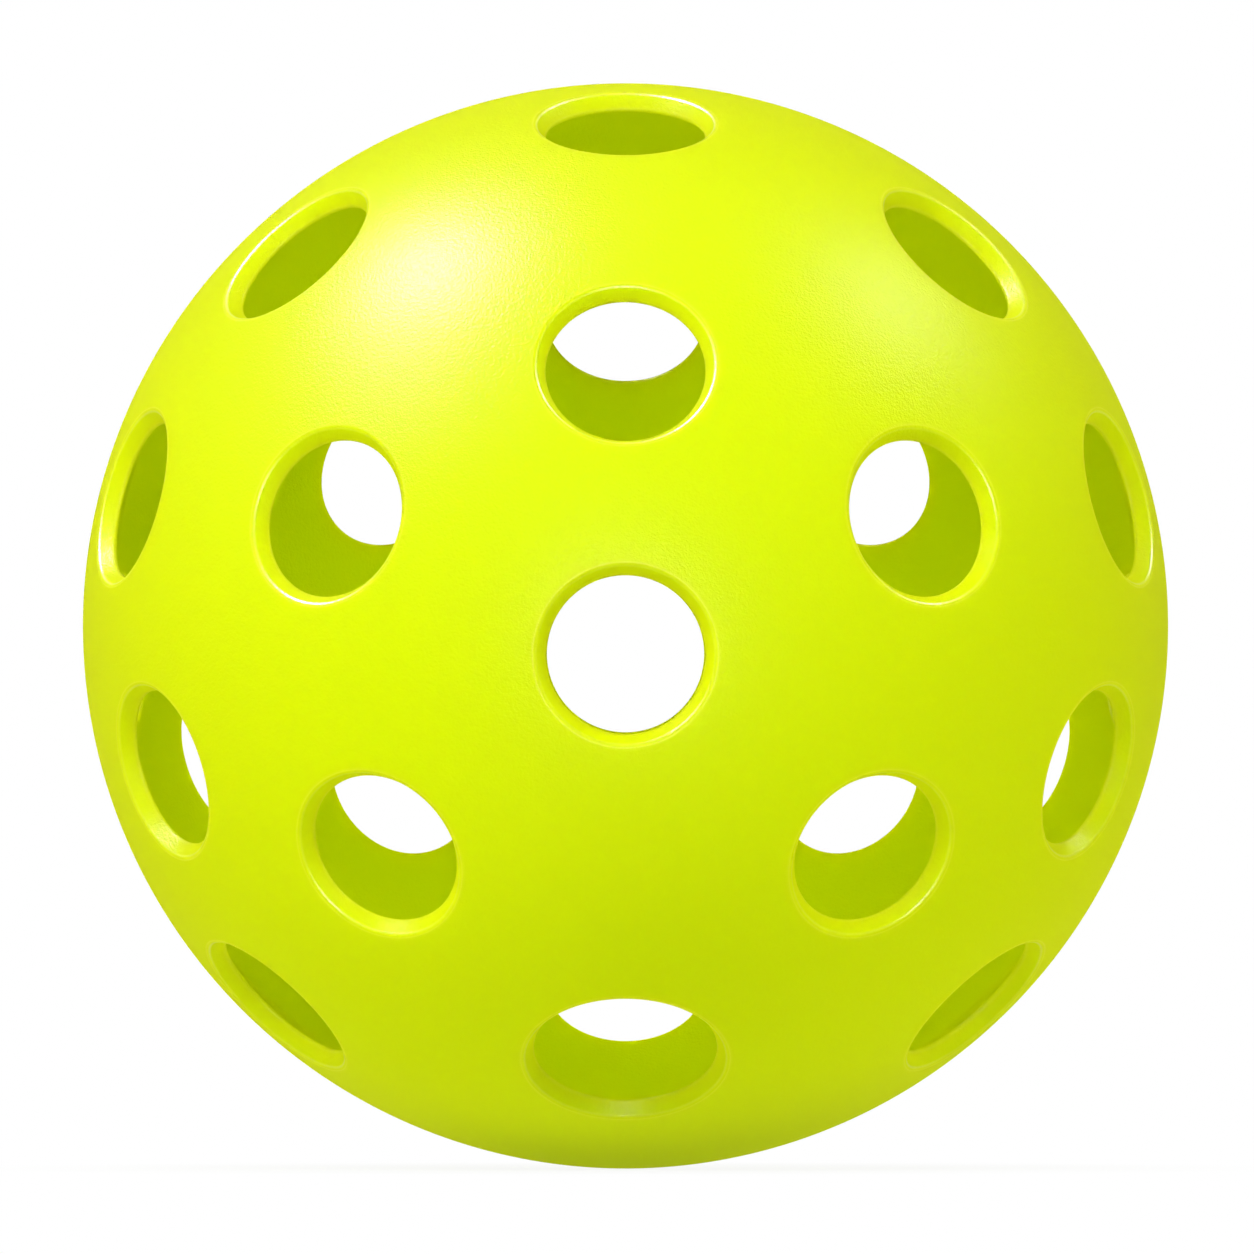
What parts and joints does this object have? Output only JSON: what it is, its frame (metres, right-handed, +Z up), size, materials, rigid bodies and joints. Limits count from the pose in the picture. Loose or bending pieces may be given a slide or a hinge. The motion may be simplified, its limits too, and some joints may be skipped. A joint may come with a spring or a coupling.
{
  "type": "pickleball",
  "caption": "Hollow plastic court ball with round holes all over: two moulded half shells, one with a lip that fits the other's rebate, joined by a weld inside the seam.",
  "frame": {"origin": "centre of the ball", "axes": "+Z up; Y is the moulding axis, with the front half towards -Y and the rear half towards +Y; the halves part in the XZ plane"},
  "size_m": [0.074, 0.0734, 0.074],
  "materials": {
    "shell_plastic": "satin, slightly see-through",
    "weld_plastic": "satin, melted"
  },
  "bodies": {
    "root": {"front_half_shell": "shell_plastic", "rear_half_shell": "shell_plastic", "seam_weld": "weld_plastic"}
  },
  "joints": []
}
